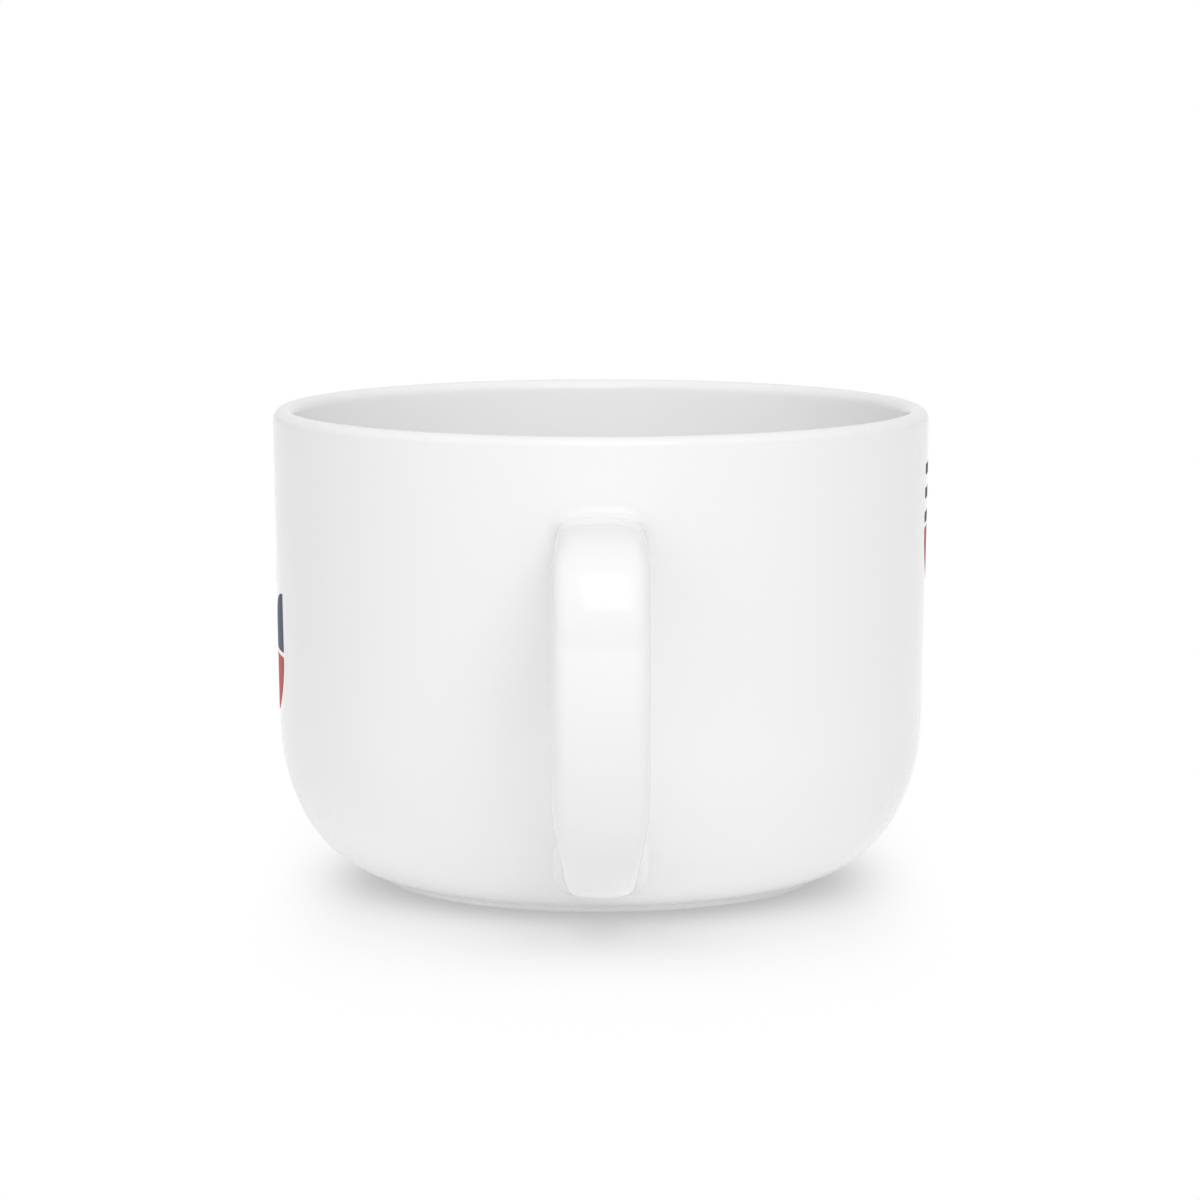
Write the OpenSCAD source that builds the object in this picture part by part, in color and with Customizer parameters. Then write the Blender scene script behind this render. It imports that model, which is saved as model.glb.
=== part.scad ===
// Wide latte mug: a jiggered bowl on a low foot ring, a cast strap handle luted on at two slip joints,
// and a fired transfer of plain geometric tiles on each side of the wall.
// Millimetres. The origin is the middle of the foot ring on the table, +Z is up, the handle points along +X.

/* [Bowl] */
// Diameter over the rim
rim_d = 105; // [98:0.5:114]
// Height from the table to the crest of the rim
bowl_h = 76; // [70:0.5:88]
// Thickness of the wall at its rounded rim
rim_t = 3.5; // [2.8:0.1:4.5]
// Thickness of the wall round the bends, and of the floor at its edge
bend_t = 4.6; // [3.8:0.1:6]
// Outer radius of the lower bend, next to the foot
low_bend_r = 19.8; // [17:0.1:23]
// Outer radius of the upper bend, below the straight wall
side_bend_r = 33.6; // [30:0.1:37]

/* [Foot] */
// Outer diameter of the foot ring
foot_d = 69.4; // [62:0.2:76]
// Height of the foot ring at its outer side
foot_h = 1; // [0.6:0.1:2]
// Width of the flat face that stands on the table
foot_t = 3.4; // [2.4:0.1:5]
// Depth of the recess under the base
recess_h = 1.6; // [1:0.1:2.2]

/* [Handle] */
// How far the handle stands out from the rim
handle_reach = 32; // [26:0.5:38]
// Width of the strap at the grip
strap_w = 14.7; // [12:0.1:18]
// Thickness of the strap
strap_t = 8; // [6.5:0.1:9.5]
// Radius on the long edges of the strap
strap_edge_r = 2.9; // [1.5:0.1:3.1]
// Radius of the crown across the outer face of the strap
strap_crown_r = 26; // [20:1:60]
// Drop from the rim's crest to the middle of the handle's upper end
upper_end_drop = 18; // [15:0.5:22]
// Height of the middle of the handle's lower end
lower_end_h = 9; // [8:0.1:11]
// Radius of the strap's middle line round the upper bend
top_bend_r = 12; // [9:0.5:16]
// Radius of the strap's middle line round the lower bend
tail_bend_r = 20; // [17:0.5:23]
// Width of the strap along its tail
tail_w = 11.5; // [9:0.1:14.7]
// Height below which the strap narrows towards its tail
taper_h = 25; // [20:0.5:30]

/* [Slip joints] */
// Thickness of the slip between the handle's ends and the bowl
slip_t = 0.5; // [0.3:0.05:1]
// Radius of the slip fillet over the upper end
upper_fillet_r = 4.5; // [2:0.1:5]
// Radius of the slip fillet under the upper end
armpit_fillet_r = 3.2; // [2:0.1:4.5]
// Radius of the slip fillet at the sides of both ends
side_fillet_r = 1.8; // [1:0.1:2.5]
// Radius of the slip fillet over the lower end, on the finger side
tail_fillet_r = 2.4; // [1.5:0.1:3]
// Radius of the slip fillet under the lower end
under_fillet_r = 0.7; // [0.4:0.1:1]
// Thickness of the slip at its thin outer edges
slip_edge_t = 0.12; // [0.08:0.01:0.25]

/* [Prints] */
// Thickness of the fired colour
print_t = 0.12; // [0.06:0.01:0.2]
// Distance from tile to tile
tile_pitch = 10.2; // [8:0.1:10.5]
// Bare wall between neighbouring tiles
tile_gap = 0.8; // [0.5:0.1:1.5]
// Width of the lines in arches and bars
line_w = 1.7; // [1.2:0.1:2]
// Diameter of a dot
dot_d = 4.6; // [3:0.1:6]
// Height of the middle of the prints
print_mid_h = 47.6; // [46:0.1:50]

/* [Hidden] */
$fn = 96;

// Angles, in degrees: the underside's rise at the foot, and the slope where the two bends meet
underside_angle = 12.5;
bend_change_angle = 63.8;

// Headings of the strap's middle line: out of the wall, into the bow, out of the bow, into the bowl
upper_heading = 8;
bow_start_heading = -84;
bow_end_heading = -118;
tail_heading = -172;

// Turns of the prints' middles from the handle, left and right
left_print_angle = -99;
right_print_angle = 103;

// Length by which a cutting or trimming form runs past what it cuts
overrun = 2;
// How far the slip is searched for along the handle's ends, to either side of the bowl's face
search_reach = 14;
search_steps = 24;

// Facets of the strap and of the slip: round each edge, along each long side, from an end's middle
// to its edge and up a fillet. The strap's bends have a ring every few degrees
corner_steps = 5;
side_steps = 6;
cap_steps = 3;
fillet_steps = 6;
bend_step_angle = 5;

rim_r = rim_t / 2;
foot_r = foot_d / 2;

// Outward normal of an outline whose tangent rises at angle a from the horizontal
function normal(a) = [sin(a), -cos(a)];

// Centres of the bowl's two bends and of its rounded rim, in the plane of radius and height
foot_top = [foot_r, foot_h];
low_c = foot_top - low_bend_r * normal(underside_angle);
side_c = low_c + (low_bend_r - side_bend_r) * normal(bend_change_angle);
rim_c = [rim_d / 2 - rim_r, bowl_h - rim_r];

// Slopes of the straight wall, outside and inside, each tangent to the upper bend and to the rim
rise_line = rim_c - side_c;
rise_turn = atan2(rise_line.y, rise_line.x);
outer_wall_a = 90 + rise_turn - acos((side_bend_r - rim_r) / norm(rise_line));
inner_wall_a = 90 + rise_turn - acos((side_bend_r - bend_t + rim_r) / norm(rise_line));

function bend_change_point(inset) = low_c + (low_bend_r - inset) * normal(bend_change_angle);
function wall_low(inset, a) = side_c + (side_bend_r - inset) * normal(a);
function wall_top(inset, a) = rim_c + (rim_r - inset) * normal(a);

floor_h = low_c.y - low_bend_r + bend_t;
widest_r = max(rim_d / 2, side_c.x + side_bend_r);
outer_low = wall_low(0, outer_wall_a);
outer_top = wall_top(0, outer_wall_a);

// Outer radius of the bowl at height z
function outer_r(z) =
    z > outer_low.y
        ? outer_low.x + (outer_top.x - outer_low.x) * (z - outer_low.y) / (outer_top.y - outer_low.y)
    : z > bend_change_point(0).y ? side_c.x + sqrt(side_bend_r ^ 2 - (z - side_c.y) ^ 2)
    : z > foot_h ? low_c.x + sqrt(low_bend_r ^ 2 - (z - low_c.y) ^ 2)
    : foot_r;

// Middle line of the strap: a straight upper arm, three arcs turning one way, and a straight tail
upper_end = [outer_r(bowl_h - upper_end_drop), bowl_h - upper_end_drop];
lower_end = [outer_r(lower_end_h), lower_end_h];
function heading(a) = [cos(a), sin(a)];
function turn_shift(from, to) = [sin(from) - sin(to), cos(to) - cos(from)];

// The reach and the lower end's place give two equations, for the arm's length and the bow's radius
grip_x = rim_d / 2 + handle_reach - strap_t / 2;
bow_out = turn_shift(bow_start_heading, -90).x;
reach_left = grip_x - upper_end.x - top_bend_r * turn_shift(upper_heading, bow_start_heading).x;
tail_side = [-sin(tail_heading), cos(tail_heading)];
fixed_shift = upper_end + top_bend_r * turn_shift(upper_heading, bow_start_heading)
    + tail_bend_r * turn_shift(bow_end_heading, tail_heading) - lower_end;
arm_across = heading(upper_heading) * tail_side;
bow_across = turn_shift(bow_start_heading, bow_end_heading) * tail_side;
arm_out = heading(upper_heading).x;
bow_r = (-(fixed_shift * tail_side) * arm_out - reach_left * arm_across)
    / (bow_across * arm_out - bow_out * arm_across);
arm_l = (reach_left - bow_r * bow_out) / arm_out;

arm_end = upper_end + arm_l * heading(upper_heading);
bow_from = arm_end + top_bend_r * turn_shift(upper_heading, bow_start_heading);
tail_from = bow_from + bow_r * turn_shift(bow_start_heading, bow_end_heading);
tail_start = tail_from + tail_bend_r * turn_shift(bow_end_heading, tail_heading);

// Prints: tiles as [column, row, kind, quarter turns]. Columns and rows are shares of the pitch, counted
// from the lower left tile, seen from outside
tile = tile_pitch - tile_gap;
tile_rows = 4;
left_red_tile_shares = [[1, 3, "quarter", 2], [0, 1, "quarter", 1], [2, 1, "half", 0], [3, 0, "quarter", 3]];
left_navy_tile_shares = [[0, 2, "arches", 0], [2, 2, "quarter", 0], [1, 1, "bars", 0], [3, 1, "quarter", 1],
    [1, 0, "half", 2]];
left_orange_tile_shares = [[0, 3, "dot", 0], [1, 2, "half", 1], [2, 0, "dot", 0]];
right_black_tile_shares = [[0, 3, "bars", 1], [2, 3, "arches", 3], [1, 2, "arches", 1], [1, 1, "half", 2],
    [3, 1, "bars", 0], [2, 0, "dot", 0]];
right_red_tile_shares = [[1, 3, "quarter", 0], [3, 3, "dot", 0], [0, 2, "quarter", 2], [2, 2, "half", 3],
    [2, 1, "quarter", 3], [3, 0, "quarter", 1]];

// Part of a disc round c, between the two directions whose outline slopes are a and b
module sector(c, r, a, b) {
    intersection() {
        translate(c) circle(r);
        polygon([c, c + 2 * r * normal(a), c + 2 * r * normal((a + b) / 2), c + 2 * r * normal(b)]);
    }
}

// Everything inside the bowl's outer face, over the recess under the base
module bowl_outline() {
    polygon([
        [0, recess_h],
        [foot_r - foot_t, recess_h],
        [foot_r - foot_t, 0],
        [foot_r, 0],
        foot_top,
        bend_change_point(0),
        outer_low,
        outer_top,
        rim_c,
        [0, rim_c.y],
    ]);
    sector(low_c, low_bend_r, underside_angle, bend_change_angle);
    sector(side_c, side_bend_r, bend_change_angle, outer_wall_a);
    translate(rim_c) circle(rim_r);
}

// Everything inside the prints' outer face, along the straight wall and the upper bend
module print_outline() {
    polygon([
        side_c,
        bend_change_point(-print_t),
        wall_low(-print_t, outer_wall_a),
        wall_top(-print_t, outer_wall_a),
        rim_c,
    ]);
    sector(side_c, side_bend_r + print_t, bend_change_angle, outer_wall_a);
}

// The room inside the bowl, out past the rim
module cavity_outline() {
    inner_top = wall_top(2 * rim_r, inner_wall_a);
    polygon([
        [0, floor_h],
        [low_c.x, floor_h],
        bend_change_point(bend_t),
        wall_low(bend_t, inner_wall_a),
        inner_top,
        [inner_top.x, bowl_h + overrun],
        [0, bowl_h + overrun],
    ]);
    sector(low_c, low_bend_r - bend_t, 0, bend_change_angle);
    sector(side_c, side_bend_r - bend_t, bend_change_angle, inner_wall_a);
}

module mug_body() {
    color("white") rotate_extrude() difference() {
        bowl_outline();
        cavity_outline();
    }
}

// Outline across the strap as [normal's angle, corner centre across, corner centre sideways]
function strap_outline(half_w) = [
    for (k = [0:3])
        let (
            across = (k == 0 || k == 3 ? 1 : -1) * (strap_t / 2 - strap_edge_r),
            sideways = (k < 2 ? 1 : -1) * (half_w - strap_edge_r)
        )
        each concat(
            [for (j = [0:corner_steps]) [90 * (k + j / corner_steps), across, sideways]],
            k % 2 == 0 ? [] : [
                for (m = [1:side_steps - 1]) [90 * (k + 1), across, sideways * (1 - 2 * m / side_steps)]
            ]
        )
];

// An outline's point, its outline grown by grow and then shrunk to share, its outer face crowned
function outline_point(o, grow, share) =
    let (
        sideways = o[2] + (strap_edge_r + grow) * sin(o[0]),
        across = o[1] + (strap_edge_r + grow) * cos(o[0]),
        crown = across > 0 ? sideways ^ 2 / (2 * strap_crown_r) * across / (strap_t / 2) : 0
    )
    share * [across - crown, sideways];

// The point of an outline that lies on a plane through p, square to the heading h
function across_at(p, h, v) = [p.x - v.x * sin(h), v.y, p.y + v.x * cos(h)];

// Half the strap's width where its middle line is at height z: it eases from the grip's width to the tail's
function half_width(z) =
    let (share = min(max((z - tail_start.y) / (taper_h - tail_start.y), 0), 1))
    (tail_w + (strap_w - tail_w) * (1 - cos(180 * share)) / 2) / 2;

// Rings of the strap round a bend of radius r that starts at p, its heading falling from one to the other
function bend_rings(p, r, from, to) =
    let (steps = ceil((from - to) / bend_step_angle))
    [for (k = [1:steps])
        let (h = from + (to - from) * k / steps, q = p + r * turn_shift(from, h))
        [for (o = strap_outline(half_width(q.y))) across_at(q, h, outline_point(o, 0, 1))]];

// How far along direction d a point p has to go to lie on the bowl's outer face, halving the span each step
function over_bowl(p) = norm([p.x, p.y]) - outer_r(p.z);
function to_bowl(p, d, low, high, steps) =
    let (mid = (low + high) / 2)
    steps == 0 ? mid
    : over_bowl(p + mid * d) > 0 ? to_bowl(p, d, low, mid, steps - 1)
    : to_bowl(p, d, mid, high, steps - 1);

// A strap end as [place, heading, +1 where the heading leaves the bowl and -1 where it enters it]
upper_seat = [upper_end, upper_heading, 1];
lower_seat = [lower_end, tail_heading, -1];

// An outline's point, moved along the strap until it stands level above the bowl's face
function seat_point(seat, o, grow, share, level) =
    let (
        q = across_at(seat[0], seat[1], outline_point(o, grow, share)),
        d = seat[2] * [cos(seat[1]), 0, sin(seat[1])]
    )
    q + d * (to_bowl(q, d, -search_reach, search_reach, search_steps) + level);

function seat_ring(seat, outline, grow, share, level) =
    [for (o = outline) seat_point(seat, o, grow, share, level)];

// Rings from an end's middle out to its edge, which follow the curve of the bowl's face
function cap_rings(seat, outline, grow, level) =
    [for (k = [1:cap_steps]) seat_ring(seat, outline, grow, k / cap_steps, level)];

function reversed(list) = [for (k = [len(list) - 1:-1:0]) list[k]];

// A closed skin over rings of equally many points, with a pole at each end
module skin(rings, first_pole, last_pole) {
    n = len(rings[0]);
    points = [each [for (g = rings) each g], first_pole, last_pole];
    last = (len(rings) - 1) * n;
    pole = len(rings) * n;
    faces = [
        for (k = [0:len(rings) - 2], i = [0:n - 1])
            let (a = k * n + i, b = k * n + (i + 1) % n) each [[a, b, b + n], [a, b + n, a + n]],
        for (i = [0:n - 1]) [pole, (i + 1) % n, i],
        for (i = [0:n - 1]) [pole + 1, last + i, last + (i + 1) % n],
    ];
    polyhedron(points, faces, convexity = 4);
}

module handle() {
    outline_up = strap_outline(half_width(upper_end.y));
    outline_low = strap_outline(half_width(lower_end.y));
    rings = concat(
        cap_rings(upper_seat, outline_up, 0, slip_t),
        [[for (o = outline_up) across_at(arm_end, upper_heading, outline_point(o, 0, 1))]],
        bend_rings(arm_end, top_bend_r, upper_heading, bow_start_heading),
        bend_rings(bow_from, bow_r, bow_start_heading, bow_end_heading),
        bend_rings(tail_from, tail_bend_r, bow_end_heading, tail_heading),
        reversed(cap_rings(lower_seat, outline_low, 0, slip_t))
    );
    upper_pole = seat_point(upper_seat, outline_up[0], 0, 0, slip_t);
    lower_pole = seat_point(lower_seat, outline_low[0], 0, 0, slip_t);
    color("white") skin(rings, upper_pole, lower_pole);
}

// Slip squeezed out round a strap end: a thin pad under the end, and a concave fillet from the bowl's
// face to the strap. The fillets are the radii on the crowned side, at the edges and on the finger side
module slip_joint(seat, fillets) {
    whole = strap_outline(half_width(seat[0].y));
    outline = seat[2] > 0 ? whole : reversed(whole);
    function fillet_at(a) = fillets[1] + (fillets[cos(a) > 0 ? 0 : 2] - fillets[1]) * cos(a) ^ 2;
    function fillet_ring(s) = [
        for (o = outline)
            let (f = fillet_at(o[0]))
            seat_point(seat, o, slip_edge_t + f * (1 - sin(s)), 1, slip_edge_t + f * (1 - cos(s)))
    ];
    function foot_ring(share) = [
        for (o = outline) seat_point(seat, o, slip_edge_t + fillet_at(o[0]), share, 0)
    ];
    collar = [for (o = outline) seat_point(seat, o, 0, 1, slip_edge_t + fillet_at(o[0]))];
    rings = concat(
        [for (k = [1:cap_steps + 1]) foot_ring(k / (cap_steps + 1))],
        [for (k = [0:fillet_steps]) fillet_ring(90 * k / fillet_steps)],
        [collar],
        reversed(cap_rings(seat, outline, 0, slip_t))
    );
    skin(rings, seat_point(seat, outline[0], 0, 0, 0), seat_point(seat, outline[0], 0, 0, slip_t));
}

module upper_slip_joint() {
    color("white") slip_joint(upper_seat, [upper_fillet_r, side_fillet_r, armpit_fillet_r]);
}

module lower_slip_joint() {
    color("white") slip_joint(lower_seat, [under_fillet_r, side_fillet_r, tail_fillet_r]);
}

// One tile's mark, in a square cell of side tile round the origin
module tile_mark(kind) {
    if (kind == "dot") circle(d = dot_d);
    if (kind == "half") intersection() {
        translate([0, -tile / 4]) circle(d = tile);
        translate([-tile / 2, -tile / 4]) square([tile, tile]);
    }
    if (kind == "quarter") intersection() {
        translate([-tile / 2, -tile / 2]) circle(r = tile);
        square(tile, center = true);
    }
    if (kind == "arches") intersection() {
        translate([-tile / 2, -tile / 2]) for (k = [0:2]) difference() {
            circle(tile - 2 * k * line_w);
            circle(tile - (2 * k + 1) * line_w);
        }
        square(tile, center = true);
    }
    if (kind == "bars") for (k = [-1:1])
        translate([k * (tile - line_w) / 2 - line_w / 2, -tile / 2]) square([line_w, tile]);
}

// A layer of one colour on the wall: its tiles, cut through a skin that lies on the bowl's outer face
module print_layer(tiles, turn) {
    low = print_mid_h - tile_rows * tile_pitch / 2;
    intersection() {
        rotate_extrude() difference() {
            print_outline();
            bowl_outline();
        }
        rotate([0, 0, turn]) rotate([90, 0, 90]) linear_extrude(widest_r + overrun)
            for (t = tiles)
                translate([(t[0] - (tile_rows - 1) / 2) * tile_pitch, low + (t[1] + 1 / 2) * tile_pitch])
                    rotate(90 * t[3]) tile_mark(t[2]);
    }
}

module left_print_red() {
    color("firebrick") print_layer(left_red_tile_shares, left_print_angle);
}

module left_print_navy() {
    color("midnightblue") print_layer(left_navy_tile_shares, left_print_angle);
}

module left_print_orange() {
    color("darkorange") print_layer(left_orange_tile_shares, left_print_angle);
}

module right_print_black() {
    color("black") print_layer(right_black_tile_shares, right_print_angle);
}

module right_print_red() {
    color("firebrick") print_layer(right_red_tile_shares, right_print_angle);
}

mug_body();
handle();
upper_slip_joint();
lower_slip_joint();
left_print_red();
left_print_navy();
left_print_orange();
right_print_black();
right_print_red();
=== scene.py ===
"""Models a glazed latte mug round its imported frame: the bowl, the strap handle, the slip that lutes the
handle on, and the enamel prints. It then sets the mug in a white studio. Metres, in the frame's own axes."""

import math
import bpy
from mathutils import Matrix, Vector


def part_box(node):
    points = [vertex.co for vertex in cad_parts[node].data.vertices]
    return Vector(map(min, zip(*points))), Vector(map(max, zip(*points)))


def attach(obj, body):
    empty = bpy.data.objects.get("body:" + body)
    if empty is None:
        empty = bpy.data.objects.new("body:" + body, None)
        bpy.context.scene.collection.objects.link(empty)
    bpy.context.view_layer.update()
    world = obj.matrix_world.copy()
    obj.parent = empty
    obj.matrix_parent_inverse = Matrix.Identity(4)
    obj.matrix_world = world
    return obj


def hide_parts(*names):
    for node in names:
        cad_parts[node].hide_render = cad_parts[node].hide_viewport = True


bl_info = {
    "name": "Latte Mug",
    "version": (1, 0, 0),
    "blender": (4, 5, 0),
    "location": "3D View > Sidebar > Mug",
    "description": "Models a glazed latte mug round its packed frame, in a white studio",
    "category": "Add Mesh",
}

import bpy
from bpy.props import FloatProperty, FloatVectorProperty, IntProperty, PointerProperty
from mathutils import Matrix, Vector

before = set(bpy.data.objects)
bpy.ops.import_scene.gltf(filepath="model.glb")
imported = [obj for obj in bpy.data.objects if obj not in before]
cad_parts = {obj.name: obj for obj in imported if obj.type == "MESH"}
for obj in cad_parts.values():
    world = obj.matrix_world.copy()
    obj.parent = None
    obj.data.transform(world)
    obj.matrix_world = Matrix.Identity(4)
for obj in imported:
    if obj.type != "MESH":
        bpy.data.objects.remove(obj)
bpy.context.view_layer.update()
BOWL_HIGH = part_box("mug_body")[1]
HANDLE_LOW, HANDLE_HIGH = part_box("handle")

BODY = "root"
MM = 0.001
# Vertices closer than this are one
MERGE = 0.001 * MM
# Edges that turn by more than this stay sharp
SHARP = math.radians(40)
QUARTER = math.pi / 2
X = Vector((1, 0, 0))
Y = Vector((0, 1, 0))
Z = Vector((0, 0, 1))

# Tiles of the prints as (column, row, mark, quarter turns), seen from outside, from the lower left tile
LEFT_TILES = {
    "red": [(1, 3, "quarter", 2), (0, 1, "quarter", 1), (2, 1, "half", 0), (3, 0, "quarter", 3)],
    "navy": [(0, 2, "arches", 0), (2, 2, "quarter", 0), (1, 1, "bars", 0), (3, 1, "quarter", 1),
             (1, 0, "half", 2)],
    "orange": [(0, 3, "dot", 0), (1, 2, "half", 1), (2, 0, "dot", 0)],
}
RIGHT_TILES = {
    "black": [(0, 3, "bars", 1), (2, 3, "arches", 3), (1, 2, "arches", 1), (1, 1, "half", 2),
              (3, 1, "bars", 0), (2, 0, "dot", 0)],
    "red": [(1, 3, "quarter", 0), (3, 3, "dot", 0), (0, 2, "quarter", 2), (2, 2, "half", 3),
            (2, 1, "quarter", 3), (3, 0, "quarter", 1)],
}
# Rows and columns of tiles in a print
GRID = 4

# Lamps that light the mug, as (turn from the handle's direction, height over the horizon), in degrees
LAMPS = {"key": (25, 45), "left": (-60, 30), "top": (0, 88)}


def hex_colour(code):
    """The linear colour, with its alpha, of an sRGB hex value such as "#F4F4F2"."""
    shares = [int(code[k:k + 2], 16) / 255 for k in (1, 3, 5)]
    return [c / 12.92 if c <= 0.04045 else ((c + 0.055) / 1.055) ** 2.4 for c in shares] + [1]


def length(name, description, default):
    """A size that a user may change, in metres."""
    return FloatProperty(
        name=name, description=description, default=default, min=0, unit="LENGTH", precision=5)


def turn(name, description, degrees):
    """An angle that a user may change."""
    return FloatProperty(name=name, description=description, default=math.radians(degrees), subtype="ANGLE")


def level(name, description, default):
    """A strength or share that a user may change."""
    return FloatProperty(name=name, description=description, default=default, min=0)


def colour(name, description, code):
    """A colour that a user may change, from its sRGB hex value."""
    return FloatVectorProperty(
        name=name, description=description, default=hex_colour(code), size=4, min=0, max=1, subtype="COLOR")


class MugBowl(bpy.types.PropertyGroup):
    """Sizes of the bowl."""
    rim_width: length("Rim width", "Diameter over the rim", 2 * BOWL_HIGH.y)
    height: length("Height", "Height from the table to the rim's crest", BOWL_HIGH.z)
    rim_thickness: length("Rim thickness", "Thickness of the wall at its rounded rim", 3.5 * MM)
    bend_thickness: length("Bend thickness", "Thickness of the wall round the bends", 4.6 * MM)
    low_bend: length("Lower bend", "Outer radius of the bend next to the foot", 19.8 * MM)
    side_bend: length("Upper bend", "Outer radius of the bend below the straight wall", 33.6 * MM)
    foot_width: length("Foot width", "Outer diameter of the foot ring", 69.4 * MM)
    foot_height: length("Foot height", "Height of the foot ring at its outer side", 1 * MM)
    foot_face: length("Foot face", "Width of the foot ring", 3.4 * MM)
    recess: length("Recess", "Depth of the recess under the base", 1.6 * MM)
    recess_corner: length("Recess corner", "Radius of the glaze in the recess's corner", 0.9 * MM)
    foot_corner: length("Foot corner", "Radius of the glaze in the corner over the foot", 0.5 * MM)
    foot_edge: length("Foot edge", "Radius of the foot's sponged edges", 0.25 * MM)
    glaze_thickness: length("Glaze thickness", "Step where the glaze stops above the dry foot", 0.08 * MM)
    glaze_line: length("Glaze line", "Height at which the glaze stops above the table", 0.25 * MM)
    low_rise: turn("Underside's rise", "Slope of the underside where it leaves the foot", 12.5)
    bend_change: turn("Change of bend", "Slope at which the lower bend becomes the upper", 63.8)
    segments: IntProperty(name="Segments", description="Segments round the bowl", default=256, min=16)


class MugHandle(bpy.types.PropertyGroup):
    """Sizes of the strap handle."""
    reach: length("Reach", "How far the handle stands out from the rim", HANDLE_HIGH.x - BOWL_HIGH.y)
    width: length("Width", "Width of the strap at the grip", HANDLE_HIGH.y - HANDLE_LOW.y)
    thickness: length("Thickness", "Thickness of the strap", 8 * MM)
    edge: length("Edge radius", "Radius on the long edges of the strap", 2.9 * MM)
    crown: length("Crown radius", "Radius of the crown across the outer face", 26 * MM)
    upper_drop: length("Upper end", "Drop from the rim's crest to the middle of the upper end", 15.8 * MM)
    lower_height: length("Lower end", "Height of the middle of the lower end", 9 * MM)
    top_bend: length("Top bend", "Radius of the middle line round the upper bend", 12 * MM)
    tail_bend: length("Tail bend", "Radius of the middle line round the lower bend", 20 * MM)
    tail_width: length("Tail width", "Width of the strap along its tail", 11.5 * MM)
    taper_height: length("Taper height", "Height below which the strap narrows", 25 * MM)
    arm_width: length("Arm width", "Width of the strap along its upper arm", 13.6 * MM)
    shoulder: length("Shoulder", "Drop from the upper end to where the strap has its full width", 2 * MM)
    upper_heading: turn("Upper heading", "Rise of the upper arm", 2)
    bow_start: turn("Bow's start", "Heading of the middle line where the long bow starts", -84)
    bow_end: turn("Bow's end", "Heading of the middle line where the long bow ends", -118)
    tail_heading: turn("Tail heading", "Heading of the middle line into the bowl", -172)


class MugSlip(bpy.types.PropertyGroup):
    """Sizes of the slip at the strap's ends."""
    upper_over: length("Over the upper end", "Run of the fillet on top of the upper end", 2.1 * MM)
    upper_under: length("Under the upper end", "Run of the fillet under the upper end", 3.2 * MM)
    lower_over: length("Over the lower end", "Run of the fillet on the finger side", 2.4 * MM)
    lower_under: length("Under the lower end", "Run of the fillet under the lower end", 1.6 * MM)
    sides: length("Sides", "Run of the fillets at the sides of the strap", 1.7 * MM)
    draw: level("Draw", "How far the upper slip draws into its corner: 0 for a bevel, 0.55 for an arc", 0.55)
    bulge: level("Bulge", "How far the lower slip swells from a bevel, as a share of its run", 0.12)


class MugPrints(bpy.types.PropertyGroup):
    """Sizes of the enamel prints."""
    pitch: length("Pitch", "Distance from tile to tile", 10.2 * MM)
    gap: length("Gap", "Bare wall between neighbouring tiles", 0.8 * MM)
    line: length("Line", "Width of the lines in arches and bars", 1.7 * MM)
    dot: length("Dot", "Diameter of a dot", 4.6 * MM)
    middle: length("Middle", "Height of the middle of the prints", 47.6 * MM)
    relief: length("Relief", "How far the enamel stands out from the glaze", 0.035 * MM)
    left_turn: turn("Left turn", "Turn of the left print's middle from the handle", -99)
    right_turn: turn("Right turn", "Turn of the right print's middle from the handle", 103)


class MugFinish(bpy.types.PropertyGroup):
    """Colours of the fired surfaces."""
    white: colour("White glaze", "Glaze over the white body", "#F4F4F4")
    biscuit: colour("Biscuit", "Dry, unglazed body at the foot", "#EFEDE9")
    red: colour("Red enamel", "Red of both prints", "#B93129")
    navy: colour("Navy enamel", "Dark blue of the left print", "#1C3150")
    orange: colour("Orange enamel", "Orange of the left print", "#DE7F35")
    black: colour("Black enamel", "Black of the right print", "#1B1A1C")


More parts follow.
